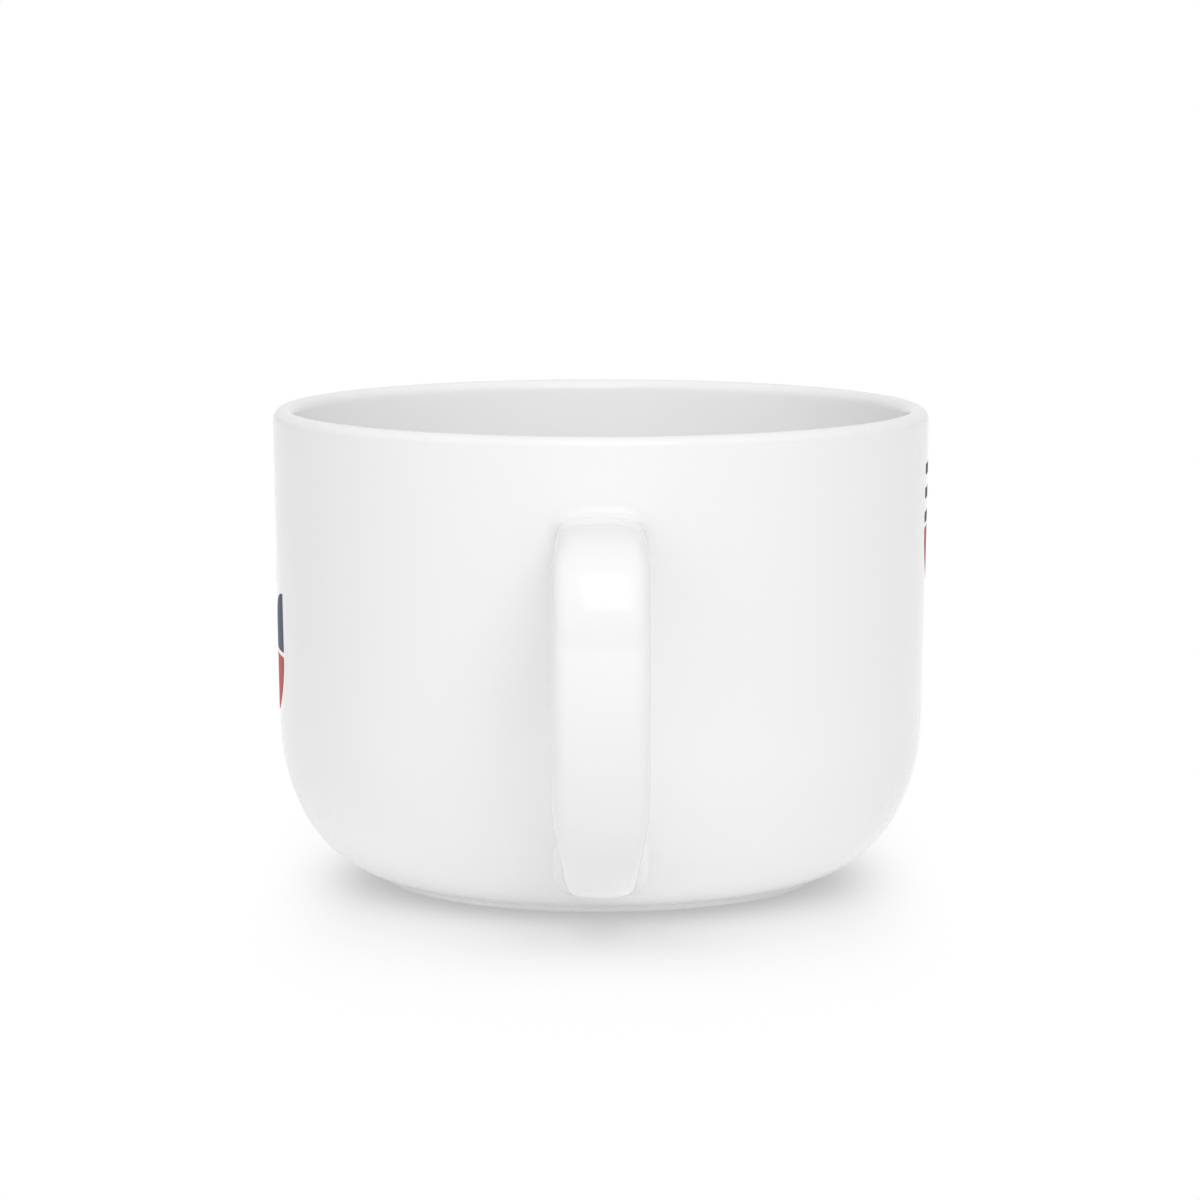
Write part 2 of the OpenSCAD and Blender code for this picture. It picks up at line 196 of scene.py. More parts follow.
class MugStudio(bpy.types.PropertyGroup):
    """The camera and the lights."""
    distance: length("Distance", "Distance from the camera to its aim", 892.5 * MM)
    elevation: turn("Elevation", "How far the camera looks down", 7.18)
    aim_height: length("Aim height", "Height of the camera's aim over the table", 44.73 * MM)
    aim_left: length("Aim to the left", "How far the aim lies left of the mug's axis", 0.13 * MM)
    lens: FloatProperty(name="Lens", description="Focal length on a 36 mm sensor", default=166.41, min=1)
    lamp_distance: length("Lamp distance", "Distance from the mug to each lamp", 2)
    lamp_size: length("Lamp size", "Side of each lamp that lights the mug", 1)
    box_level: level("Softbox level", "Radiance of the softbox in the glaze, where 1 is white", 0.95)
    box_width: length("Softbox width", "Width of the softbox", 1.1)
    box_height: length("Softbox height", "Height of the softbox", 1.5)
    box_elevation: turn("Softbox elevation", "Height of the softbox's middle over the horizon", 49)
    box_turn: turn("Softbox turn", "Turn of the softbox from the handle's direction", 6)
    key_level: level("Key lamp", "Light on the mug from high on the front right", 0.75)
    left_level: level("Left lamp", "Light on the mug from the left", 0.28)
    top_level: level("Top lamp", "Light on the mug from above", 0.25)
    room_level: level("Room level", "Light on the mug from the white room all round", 0.435)
    front_level: level("Front level", "More of that light from straight in front, none from the sides", 0.72)
    # The floor's glow below is painted light, which stands in for bounce and is strongest round the foot
    floor_level: level("Floor level", "Light on the mug from the floor's own glow", 0.07)
    foot_level: level("Foot level", "More of that glow round the foot", 0.17)
    foot_glow: length("Foot glow", "Distance at which that glow starts to fade", 45 * MM)
    foot_dark: length("Foot glow's end", "Distance at which that glow has gone", 95 * MM)
    mirrored_front: level("Mirrored front", "How white the room in front is in the glaze", 0.35)
    mirrored_back: level("Mirrored back", "How white the room behind the mug is in the glaze", 0.9)
    mirrored_floor: level("Mirrored floor", "How much white the glaze sees on top of the lit card", 0.4)
    floor_width: length("Floor width", "Side of the card under the mug", 6)
    # The floor's shade is painted into what the eye sees of the card, from its ambient occlusion
    shade_depth: level("Shade depth", "How dark the floor is where the mug covers it wholly", 0.55)
    shade_power: level("Shade power", "How fast that shade fades as the sky opens", 1.6)
    shade_reach: length("Shade reach", "How far away the mug still shades the floor", 60 * MM)
    wash_start: length("Wash start", "Distance aside at which the shade starts to wash out", 36 * MM)
    wash_end: length("Wash end", "Distance aside at which the shade has gone", 56 * MM)


def in_section(flat):
    """The point of the XZ plane at (x, z)."""
    return Vector((flat[0], 0, flat[1]))


def slope_normal(slope):
    """Outward normal of a section whose outline rises at that slope, as (radius, height)."""
    return Vector((math.sin(slope), -math.cos(slope)))


def bend_point(centre, radius, slope):
    """The point of a section's bend at that slope, as (radius, height)."""
    return centre + radius * slope_normal(slope)


def heading_of(angle):
    """Unit step in the XZ plane at that angle over the horizon, as (x, z)."""
    return Vector((math.cos(angle), math.sin(angle)))


def arc_shift(start, end):
    """How far a line moves, for a radius of 1, while its heading falls from start to end, as (x, z)."""
    return Vector((math.sin(start) - math.sin(end), math.cos(end) - math.cos(start)))


class BowlShape:
    """The bowl's half section, as (radius, height): centres of its bends and rim, and its wall's slopes."""

    def __init__(self, bowl):
        self.bowl = bowl
        self.rim = bowl.rim_thickness / 2
        self.inner_bend = bowl.side_bend - bowl.bend_thickness
        foot_top = Vector((bowl.foot_width / 2, bowl.foot_height))
        self.low_centre = foot_top - bowl.low_bend * slope_normal(bowl.low_rise)
        self.side_centre = bend_point(self.low_centre, bowl.low_bend - bowl.side_bend, bowl.bend_change)
        self.rim_centre = Vector((bowl.rim_width / 2 - self.rim, bowl.height - self.rim))
        line = self.rim_centre - self.side_centre
        square = QUARTER + math.atan2(line.y, line.x)
        self.outer_slope = square - math.acos((bowl.side_bend - self.rim) / line.length)
        self.inner_slope = square - math.acos((self.inner_bend + self.rim) / line.length)
        self.floor = self.low_centre.y - bowl.low_bend + bowl.bend_thickness

    def radius_at(self, height):
        """Outer radius of the bowl at a height over the foot."""
        low, side = self.low_centre, self.side_centre
        wall_low = bend_point(side, self.bowl.side_bend, self.outer_slope)
        if height > wall_low.y:
            return wall_low.x + (height - wall_low.y) / math.tan(self.outer_slope)
        if height > bend_point(low, self.bowl.low_bend, self.bowl.bend_change).y:
            return side.x + math.sqrt(self.bowl.side_bend ** 2 - (height - side.y) ** 2)
        return low.x + math.sqrt(self.bowl.low_bend ** 2 - (height - low.y) ** 2)

    def off_face(self, point):
        """How far a point stands off the bowl's outer face, and the face's normal there."""
        flat = Vector((math.hypot(point.x, point.y), point.z))
        from_low = flat - self.low_centre
        from_side = flat - self.side_centre
        if math.atan2(from_low.x, -from_low.y) < self.bowl.bend_change:
            gap, normal = from_low.length - self.bowl.low_bend, from_low.normalized()
        elif math.atan2(from_side.x, -from_side.y) < self.outer_slope:
            gap, normal = from_side.length - self.bowl.side_bend, from_side.normalized()
        else:
            normal = slope_normal(self.outer_slope)
            gap = from_side.dot(normal) - self.bowl.side_bend
        return gap, Vector((normal.x * point.x / flat.x, normal.x * point.y / flat.x, normal.y))

    def onto_face(self, point):
        """The nearest point of the bowl's outer face."""
        gap, normal = self.off_face(point)
        return point - gap * normal


def eased(share):
    """A share of 0 to 1, slow at both ends."""
    return (1 - math.cos(math.pi * min(max(share, 0), 1))) / 2


def stood_up(flat, place, heading, narrow):
    """The place of a strap section's point (across, sideways), narrowed, round the middle line's place."""
    return Vector((place.x - flat.x * math.sin(heading), flat.y * narrow,
                   place.y + flat.x * math.cos(heading)))


class StrapShape:
    """The strap's section, and its middle line: an upper arm, three bends that turn one way, and a tail."""

    def __init__(self, handle, bowl_shape):
        self.handle = handle
        start, bow_start, bow_end, end = (
            handle.upper_heading, handle.bow_start, handle.bow_end, handle.tail_heading)
        upper_height = bowl_shape.bowl.height - handle.upper_drop
        self.upper_end = Vector((bowl_shape.radius_at(upper_height), upper_height))
        self.lower_end = Vector((bowl_shape.radius_at(handle.lower_height), handle.lower_height))
        grip = bowl_shape.bowl.rim_width / 2 + handle.reach - handle.thickness / 2
        # The grip's place and the lower end's give two equations, for the arm's length and the bow's radius
        arm_way, down = heading_of(start), arc_shift(bow_start, -QUARTER).x
        top, tail = handle.top_bend * arc_shift(start, bow_start), handle.tail_bend * arc_shift(bow_end, end)
        bow = arc_shift(bow_start, bow_end)
        reach_left = grip - self.upper_end.x - top.x
        beside_tail = -slope_normal(end)
        fixed = (self.upper_end + top + tail - self.lower_end).dot(beside_tail)
        arm_across, bow_across = arm_way.dot(beside_tail), bow.dot(beside_tail)
        self.bow = (-fixed * math.cos(start) - reach_left * arm_across) / (
            bow_across * math.cos(start) - down * arm_across)
        self.arm_length = (reach_left - self.bow * down) / math.cos(start)
        self.tail_start = self.upper_end + self.arm_length * arm_way + top + self.bow * bow + tail
        self.tail_length = (self.lower_end - self.tail_start).length

    def narrowing(self, height):
        """The strap's width where its middle line is at that height, as a share of the grip's."""
        handle, low = self.handle, self.tail_start.y
        over_tail = eased((height - low) / (handle.taper_height - low))
        over_shoulder = eased((height - self.upper_end.y) / handle.shoulder + 1)
        lost = ((handle.width - handle.tail_width) * (1 - over_tail)
                + (handle.width - handle.arm_width) * over_shoulder)
        return 1 - lost / handle.width

    def outline(self):
        """The section's points and their normals, each (across, sideways), from the outer face's left."""
        handle = self.handle
        half = handle.width / 2 - handle.edge
        crown_centre = Vector((handle.thickness / 2 - handle.crown, 0))
        inside = handle.crown - handle.edge
        lean = math.asin(half / inside)
        outer = crown_centre.x + inside * math.cos(lean)
        inner = handle.edge - handle.thickness / 2
        # Each arc's centre, radius, ends and steps, then the length and points of the run after it
        arcs = [
            (crown_centre, handle.crown, -lean, lean, 12, 0, 0),
            (Vector((outer, half)), handle.edge, lean, QUARTER, 9, outer - inner, 1),
            (Vector((inner, half)), handle.edge, QUARTER, 2 * QUARTER, 10, 2 * half, 9),
            (Vector((inner, -half)), handle.edge, 2 * QUARTER, 3 * QUARTER, 10, outer - inner, 1),
            (Vector((outer, -half)), handle.edge, 3 * QUARTER, 4 * QUARTER - lean, 9, 0, 0),
        ]
        points = []
        for centre, radius, start, end, steps, run, between in arcs:
            for k in range(steps + 1):
                normal = heading_of(start + (end - start) * k / steps)
                points.append((centre + radius * normal, normal))
            first, normal = points[-1]
            along = Vector((-normal.y, normal.x))
            points += [(first + along * run * k / (between + 1), normal) for k in range(1, between + 1)]
        # Neighbouring arcs share the point at which they meet
        return [p for p, last in zip(points, points[-1:] + points[:-1]) if (p[0] - last[0]).length > MERGE]


def set_mode(mode):
    """Enters edit or object mode."""
    bpy.ops.object.mode_set(mode=mode)


def select_mesh(action="SELECT"):
    """Selects all of the mesh in edit mode, or nothing of it."""
    bpy.ops.mesh.select_all(action=action)


def deselect_objects():
    """Selects no object."""
    bpy.ops.object.select_all(action="DESELECT")


def apply_transform():
    """Moves an object's place, turn and scale into its mesh."""
    bpy.ops.object.transform_apply(location=True, rotation=True, scale=True)


def begin_at(name, point):
    """Starts a piece in edit mode as one selected vertex: a small plane merged to its middle."""
    deselect_objects()
    bpy.ops.mesh.primitive_plane_add(size=MM, location=point)
    piece = bpy.context.object
    piece.name = name
    apply_transform()
    set_mode("EDIT")
    bpy.ops.mesh.select_mode(type="VERT")
    bpy.ops.mesh.merge(type="CENTER")
    return piece


def extrude_by(step):
    """Extrudes what is selected, in edit mode."""
    bpy.ops.mesh.extrude_region_move(TRANSFORM_OT_translate={"value": step})


class Pen:
    """Draws the outline of a section in the XZ plane, in edit mode, from the one vertex of a new piece."""

    def __init__(self, name, start):
        self.place = Vector(start)
        self.piece = begin_at(name, in_section(start))

    def line(self, x, z):
        """Draws a straight line."""
        end = Vector((x, z))
        extrude_by(in_section(end - self.place))
        self.place = end

    def wall(self, end, collar):
        """Draws a straight wall with a narrow band at each end, which keeps the bends' shading off it."""
        start = self.place
        along = (end - start).normalized() * collar
        for place in (start + along, end - along, end):
            self.line(*place)

    def bend(self, centre, angle, step):
        """Draws an arc round a centre, anticlockwise by that angle."""
        steps = math.ceil(abs(angle) / step)
        bpy.ops.mesh.spin(steps=steps, angle=angle, center=in_section(centre), axis=Y)
        self.place = centre + Matrix.Rotation(angle, 2) @ (self.place - centre)


def select_where(piece, wanted):
    """Selects, in edit mode, the faces for which wanted(centre, normal) holds, and nothing else."""
    bpy.ops.mesh.select_mode(type="FACE")
    select_mesh("DESELECT")
    set_mode("OBJECT")
    for face in piece.data.polygons:
        face.select = wanted(face.center, face.normal)
    set_mode("EDIT")


def keep_above(point, normal, close=False):
    """Cuts what is selected by a plane, in edit mode, and keeps the side that the normal points to."""
    bpy.ops.mesh.bisect(plane_co=point, plane_no=normal, clear_inner=True, use_fill=close, threshold=MERGE)


def close_mesh(smooth_below=SHARP):
    """Merges the doubles, turns the faces outwards and leaves edit mode, with edges over the angle sharp."""
    select_mesh()
    bpy.ops.mesh.remove_doubles(threshold=MERGE)
    bpy.ops.mesh.normals_make_consistent(inside=False)
    set_mode("OBJECT")
    bpy.ops.object.shade_smooth_by_angle(angle=smooth_below)


def put_on_frame(piece, node):
    """Lets a finished piece stand for its node and ride with the body."""
    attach(piece, BODY)
    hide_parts(node)


def add_node(tree, kind, inputs=None, **settings):
    """Adds a node with its settings. Its inputs, by name or place, are values or other nodes' sockets."""
    node = tree.nodes.new("ShaderNode" + kind)
    for name, value in settings.items():
        setattr(node, name, value)
    for name, value in (inputs or {}).items():
        if isinstance(value, bpy.types.NodeSocket):
            tree.links.new(value, node.inputs[name])
        else:
            node.inputs[name].default_value = value
    return node


def new_material(name):
    """An empty node material, and its tree."""
    material = bpy.data.materials.new(name)
    material.use_nodes = True
    material.node_tree.nodes.clear()
    return material, material.node_tree


def object_noise(tree, feature, detail=2.0):
    """Noise whose features have that size, in metres, on the object's own coordinates."""
    place = add_node(tree, "TexCoord").outputs["Object"]
    noise = add_node(tree, "TexNoise", {"Vector": place, "Scale": 1 / feature, "Detail": detail})
    return noise.outputs["Fac"]


def varied(tree, base, amount, share):
    """A colour that darkens by up to that amount where the share is low."""
    darker = [c * (1 - amount) for c in base[:3]] + [1]
    mix = add_node(tree, "Mix", {0: share, 6: darker, 7: list(base)}, data_type="RGBA")
    return mix.outputs[2]


def clay_surface(tree, base, darker, patches, relief, depth, strength, shine):
    """Fired clay: a base colour up to that much darker in patches, over a relief of that depth in metres."""
    bump = add_node(tree, "Bump", {"Height": relief, "Distance": depth, "Strength": strength})
    shader = add_node(tree, "BsdfPrincipled", {
        "Base Color": varied(tree, base, darker, patches), "Normal": bump.outputs["Normal"], "IOR": 1.5,
        **shine})
    add_node(tree, "OutputMaterial", {"Surface": shader.outputs["BSDF"]})
    return bump, shader


def white_glaze(finish):
    """Clear transparent glaze fired over a white porcelain body. The eye sees an even, cool white that is
    matt below a mirror-smooth skin, so soft shade and sharp reflections lie over each other."""
    name = "clear_glaze_on_white_porcelain"
    if name in bpy.data.materials:
        return bpy.data.materials[name]
    material, tree = new_material(name)
    # It settles in long waves about a hundredth of a millimetre deep, which softly bend its reflections.
    # Where it lies a little thicker, in patches, the white is slightly greyer
    wave, patch = 14 * MM, 25 * MM
    bump, shader = clay_surface(
        tree, finish.white, 0.012, object_noise(tree, patch), object_noise(tree, wave), 0.02 * MM, 0.6,
        {"Roughness": 0.6, "Specular IOR Level": 0.1, "Coat Weight": 1.0, "Coat Roughness": 0.015,
         "Coat IOR": 1.52})
    tree.links.new(bump.outputs["Normal"], shader.inputs["Coat Normal"])
    return material


def dry_biscuit(finish):
    """Porcelain biscuit, sponged bare at the foot before firing. The eye sees a warm, chalky white with a
    fine grain and no gloss."""
    material, tree = new_material("unglazed_porcelain_biscuit")
    # Sponge marks lie over a grain that is much finer
    grain, mark = 0.35 * MM, 3 * MM
    clay_surface(tree, finish.biscuit, 0.09, object_noise(tree, mark), object_noise(tree, grain, 4.0),
                 0.03 * MM, 0.5, {"Roughness": 0.88})
    return material


def enamel(name, base):
    """On-glaze enamel, screen-printed as a transfer and fired into the glaze. The eye sees a dense, flat
    colour with a softer gloss than the bare glaze, faintly mottled by the screen."""
    material, tree = new_material(f"fired_{name}_enamel")
    # The screen leaves its mesh as mottle, drawn about three times too coarse here, so that it shows
    screen = 0.5 * MM
    mottle = object_noise(tree, screen, 3.0)
    clay_surface(tree, base, 0.1, mottle, mottle, 0.006 * MM, 0.5, {
        "Roughness": 0.5, "Specular IOR Level": 0.05, "Coat Weight": 0.12, "Coat Roughness": 0.1,
        "Coat IOR": 1.4})
    return material


class MUG_OT_turn_bowl(bpy.types.Operator):
    """Spin the bowl from its half section, with its foot ring, rounded rim and dry foot"""
    bl_idname = "mug.turn_bowl"
    bl_label = "Turn the Bowl"

    def execute(self, context):
        bowl = context.scene.mug_bowl
        shape = BowlShape(bowl)
        fine, coarse = math.radians(3), math.radians(10)
        foot = bowl.foot_width / 2
        inside = foot - bowl.foot_face
        glaze, edge, corner = bowl.glaze_thickness, bowl.foot_edge, bowl.recess_corner
        line = bowl.glaze_line

        # Recess under the base, and down the inside of the foot ring to the edge of the glaze
        pen = Pen("glazed_bowl", (0, bowl.recess))
        pen.line(inside - corner, bowl.recess)
        pen.bend(Vector((inside - corner, bowl.recess - corner)), -QUARTER, coarse)
        pen.line(inside, line + glaze)
        # Dry foot, with its edges sponged round
        dry_end = foot - glaze - edge
        pen.line(inside + glaze, line)
        pen.bend(Vector((inside + glaze + edge, line)), QUARTER, coarse)
        pen.line(pen.place.x, 0)
        pen.line(dry_end, 0)
        pen.line(dry_end, line - edge)
        pen.bend(Vector((dry_end, line)), QUARTER, coarse)
        pen.line(foot, line + glaze)
        # Corner over the foot, filled by the glaze, then the two bends
        fillet_x = foot + bowl.foot_corner
        from_low = fillet_x - shape.low_centre.x
        low_reach = bowl.low_bend + bowl.foot_corner
        fillet = Vector((fillet_x, shape.low_centre.y - math.sqrt(low_reach ** 2 - from_low ** 2)))
        leaves = math.asin(from_low / low_reach)
        pen.line(foot, fillet.y)
        pen.bend(fillet, leaves - QUARTER, coarse)
        pen.bend(shape.low_centre, bowl.bend_change - leaves, fine)
        pen.bend(shape.side_centre, shape.outer_slope - bowl.bend_change, fine)
        # Straight wall, rounded rim, and down the inside to the floor
        collar = bowl.rim_thickness / 4
        pen.wall(bend_point(shape.rim_centre, shape.rim, shape.outer_slope), collar)
        pen.bend(shape.rim_centre, shape.inner_slope + 2 * QUARTER - shape.outer_slope, coarse)
        pen.wall(bend_point(shape.side_centre, shape.inner_bend, shape.inner_slope), collar)
        pen.bend(shape.side_centre, bowl.bend_change - shape.inner_slope, fine)
        pen.bend(shape.low_centre, -bowl.bend_change, fine)
        pen.line(0, shape.floor)

        select_mesh()
        bpy.ops.mesh.spin(steps=bowl.segments, angle=4 * QUARTER, center=(0, 0, 0), axis=Z)
        close_mesh()
        piece = pen.piece
        piece.data.materials.append(white_glaze(context.scene.mug_finish))
        piece.data.materials.append(dry_biscuit(context.scene.mug_finish))
        set_mode("EDIT")
        select_where(piece, lambda centre, _: centre.z < line + glaze / 4)
        piece.active_material_index = 1
        bpy.ops.object.material_slot_assign()
        set_mode("OBJECT")
        put_on_frame(piece, "mug_body")
        return {"FINISHED"}


class StrapSweep:
    """Carries the selected section along the strap's middle line, and fits its width on the way."""

    def __init__(self, shape, place):
        self.shape = shape
        self.place = place
        self.share = shape.narrowing(place.y)

    def arrive(self, place):
        """Gives the selected section the width that the strap has at its new place."""
        share = self.shape.narrowing(place.y)
        bpy.ops.transform.resize(value=(1, share / self.share, 1), center_override=(0, 0, 0))
        self.place, self.share = place, share

    def straight(self, heading, run, steps):
        """Extrudes the section along a straight stretch."""
        step = heading_of(heading) * run / steps
        for _ in range(steps):
            extrude_by(in_section(step))
            self.arrive(self.place + step)

    def bend(self, radius, start, end, step):
        """Spins the section round a bend, while the heading falls from start to end."""
        steps = math.ceil((start - end) / step)
        centre = self.place + radius * slope_normal(start)
        for k in range(steps):
            bpy.ops.mesh.spin(steps=1, angle=(end - start) / steps, center=in_section(centre), axis=Y)
            heading = start + (end - start) * (k + 1) / steps
            self.arrive(centre - radius * slope_normal(heading))


class MUG_OT_cast_handle(bpy.types.Operator):
    """Sweep the strap handle's section along its bends, and trim its tail inside the bowl's wall"""
    bl_idname = "mug.cast_handle"
    bl_label = "Cast the Handle"

    def execute(self, context):
        handle = context.scene.mug_handle
        bowl_shape = BowlShape(context.scene.mug_bowl)
        shape = StrapShape(handle, bowl_shape)
        # The strap's ends lie about this deep in the wall
        sunk = 1.2 * MM
        fine, coarse = math.radians(4), math.radians(2)

        start = shape.upper_end - sunk * heading_of(handle.upper_heading)
        narrow = shape.narrowing(start.y)
        outline = [stood_up(flat, start, handle.upper_heading, narrow) for flat, _ in shape.outline()]
        piece = begin_at("strap_handle", outline[0])
        for last, point in zip(outline, outline[1:]):
            extrude_by(point - last)
        select_mesh()
        bpy.ops.mesh.edge_face_add()
        bpy.ops.mesh.select_mode(type="FACE")
        sweep = StrapSweep(shape, start)
        sweep.straight(handle.upper_heading, shape.arm_length + sunk, steps=6)
        sweep.bend(handle.top_bend, handle.upper_heading, handle.bow_start, fine)
        sweep.bend(shape.bow, handle.bow_start, handle.bow_end, coarse)
        sweep.bend(handle.tail_bend, handle.bow_end, handle.tail_heading, fine)
        sweep.straight(handle.tail_heading, shape.tail_length + handle.thickness, steps=8)

        # The tail is cut along the slope of the bowl's face, inside the wall
        seat = in_section(shape.lower_end)
        _, normal = bowl_shape.off_face(seat)
        select_where(piece, lambda centre, _: centre.z < handle.lower_height + handle.thickness
                     and centre.x < shape.tail_start.x)
        keep_above(seat - 1.5 * sunk * normal, normal, close=True)
        close_mesh()
        piece.data.materials.append(white_glaze(context.scene.mug_finish))
        put_on_frame(piece, "handle")
        return {"FINISHED"}


def lay_fillet(context, end, seat, heading, away, runs, draw=0.0, bulge=0.0):
    """Lays the slip's fillet round the strap's upper or lower end, which meets the bowl at seat, an (x, z)
    place. away is 1 where the heading leaves the bowl and -1 where it enters it. runs are on the outer
    face, sides and inner face, draw is how far they bend into the corner, and bulge how far they swell."""
    bowl_shape = BowlShape(context.scene.mug_bowl)
    shape = StrapShape(context.scene.mug_handle, bowl_shape)
    narrow = shape.narrowing(seat.y)
    along = away * in_section(heading_of(heading))
    outer_way = in_section(-slope_normal(heading))
    rings = 14
    # Past each end of its curve the slip dips under the surface that it leaves, where it is closed
    skirt, dip, deep = 0.5 * MM, 0.015 * MM, 0.5 * MM

    def profile(flat, normal):
        """The slip's points in one direction round the strap, from inside the strap to inside the bowl."""
        out = (outer_way * normal.x + Y * normal.y / narrow).normalized()
        run = runs[1] + (runs[0 if normal.x > 0 else 2] - runs[1]) * normal.x ** 2
        start = stood_up(flat, seat, heading, narrow)
        low, high = -shape.handle.width, shape.handle.width
        while high - low > MERGE / 10:
            middle = (low + high) / 2
            inside = bowl_shape.off_face(start + middle * along)[0] < 0
            low, high = (middle, high) if inside else (low, middle)
        root = start + low * along
        _, face = bowl_shape.off_face(root)
        down_wall = (out - out.dot(face) * face).normalized()
        on_strap = root + run * along
        on_wall = bowl_shape.onto_face(root + run * down_wall)
        _, face = bowl_shape.off_face(on_wall)
        back = root - on_wall
        back = (back - back.dot(face) * face).normalized() * run
        swell = bulge * run * (on_strap + on_wall - 2 * root).normalized()
        bezier = (on_strap, on_strap + draw * (root - on_strap) + swell,
                  on_wall + draw * back + swell, on_wall)
        points = [root - deep * (out + along), on_strap + skirt * along / 2 - deep * out,
                  on_strap + skirt * along - dip * out]
        for k in range(rings + 1):
            t = k / rings
            weights = ((1 - t) ** 3, 3 * t * (1 - t) ** 2, 3 * t * t * (1 - t), t ** 3)
            points.append(sum((w * p for w, p in zip(weights, bezier)), Vector()))
        beyond = on_wall - back.normalized() * skirt
        points.append(bowl_shape.onto_face(beyond) - dip * face)
        points.append(bowl_shape.onto_face(beyond) - deep * face)
        return points

    # A grid bent round the strap end. Its vertices are set here, because no operator lays a fillet between
    # two curved faces
    profiles = [profile(flat, normal) for flat, normal in shape.outline()]
    profiles.append(profiles[0])
    deselect_objects()
    bpy.ops.mesh.primitive_grid_add(
        x_subdivisions=len(profiles[0]) - 1, y_subdivisions=len(profiles) - 1, size=MM)
    piece = bpy.context.object
    piece.name = f"{end}_slip_fillet"
    points = [point for points in profiles for point in points]
    for vertex, point in zip(piece.data.vertices, points, strict=True):
        vertex.co = point
    set_mode("EDIT")
    select_mesh()
    bpy.ops.mesh.remove_doubles(threshold=MERGE)
    # Only the two hidden rims are open, and bridging them closes the slip under both skins
    bpy.ops.mesh.select_mode(type="EDGE")
    select_mesh("DESELECT")
    bpy.ops.mesh.select_non_manifold()
    bpy.ops.mesh.bridge_edge_loops()
    close_mesh(math.radians(60))
    piece.data.materials.append(white_glaze(context.scene.mug_finish))
    put_on_frame(piece, f"{end}_slip_joint")


class MUG_OT_lute_joints(bpy.types.Operator):
    """Lay the fillets of slip where the strap's two ends meet the bowl"""
    bl_idname = "mug.lute_joints"
    bl_label = "Lute the Joints"

    def execute(self, context):
        handle, slip = context.scene.mug_handle, context.scene.mug_slip
        shape = StrapShape(handle, BowlShape(context.scene.mug_bowl))
        lay_fillet(context, "upper", shape.upper_end, handle.upper_heading, 1,
                   (slip.upper_over, slip.sides, slip.upper_under), draw=slip.draw)
        lay_fillet(context, "lower", shape.lower_end, handle.tail_heading, -1,
                   (slip.lower_under, slip.sides, slip.lower_over), bulge=slip.bulge)
        return {"FINISHED"}


def add_disc(radius, middle, around=96):
    """Adds a flat disc with that many points round it, and enters edit mode."""
    bpy.ops.mesh.primitive_circle_add(vertices=around, radius=radius, fill_type="NGON", location=middle)
    apply_transform()
    set_mode("EDIT")


def add_mark(kind, prints):
    """Adds one tile's mark as a flat object, in a square cell round the origin."""
    side = prints.pitch - prints.gap
    corner = Vector((-side / 2, -side / 2, 0))
    deselect_objects()
    if kind == "dot":
        add_disc(prints.dot / 2, (0, 0, 0))
    elif kind == "half":
        low = Vector((0, -side / 4, 0))
        add_disc(side / 2, low)
        keep_above(low, Y)
    elif kind == "bars":
        bpy.ops.mesh.primitive_plane_add(size=side)
        set_mode("EDIT")
        bpy.ops.transform.resize(value=(prints.line / side, 1, 1), center_override=(0, 0, 0))
        step = (side - prints.line) / 2
        bpy.ops.transform.translate(value=(-step, 0, 0))
        for _ in range(2):
            bpy.ops.mesh.duplicate_move(TRANSFORM_OT_translate={"value": (step, 0, 0)})
    else:
        add_disc(side, corner, around=192)
        if kind == "arches":
            # Five rings inset from the disc. Every other one is left out, and so is the middle
            bpy.ops.mesh.select_mode(type="FACE")
            for _ in range(5):
                bpy.ops.mesh.inset(thickness=prints.line)
            bpy.ops.mesh.delete(type="FACE")
            select_where(bpy.context.object, lambda centre, _: (
                int((side - (centre - corner).length) / prints.line) % 2 == 1))
            bpy.ops.mesh.delete(type="FACE")
        select_mesh()
        keep_above(corner, X)
        select_mesh()
        keep_above(corner, Y)
    set_mode("OBJECT")
    return bpy.context.object


def print_skin(prints, shape, middle_turn):
    """Adds a thin curved slab that lies in the straight wall's face and stands out from it by the relief."""
    span, step = math.radians(100), math.radians(0.75)
    # The tiles leave half a gap bare at the grid's lower and upper edges. The slab ends within it below, to
    # keep off the bend, and runs past it above
    low = prints.middle - GRID * prints.pitch / 2 + prints.gap / 4
    high = prints.middle + GRID * prints.pitch / 2 + prints.gap
    out = slope_normal(shape.outer_slope)
    low_place, high_place = (Vector((shape.radius_at(z), z)) for z in (low, high))
    sunk = 2 * prints.relief
    corners = [low_place - sunk * out, low_place + prints.relief * out,
               high_place + prints.relief * out, high_place - sunk * out]
    pen = Pen("print_skin", corners[0])
    for place in corners[1:]:
        pen.line(*place)
    select_mesh()
    bpy.ops.mesh.edge_face_add()
    bpy.ops.mesh.spin(steps=round(span / step), angle=span, center=(0, 0, 0), axis=Z)
    close_mesh()
    # A spin about Z turns clockwise
    pen.piece.rotation_euler.z = middle_turn + span / 2
    apply_transform()
    return pen.piece


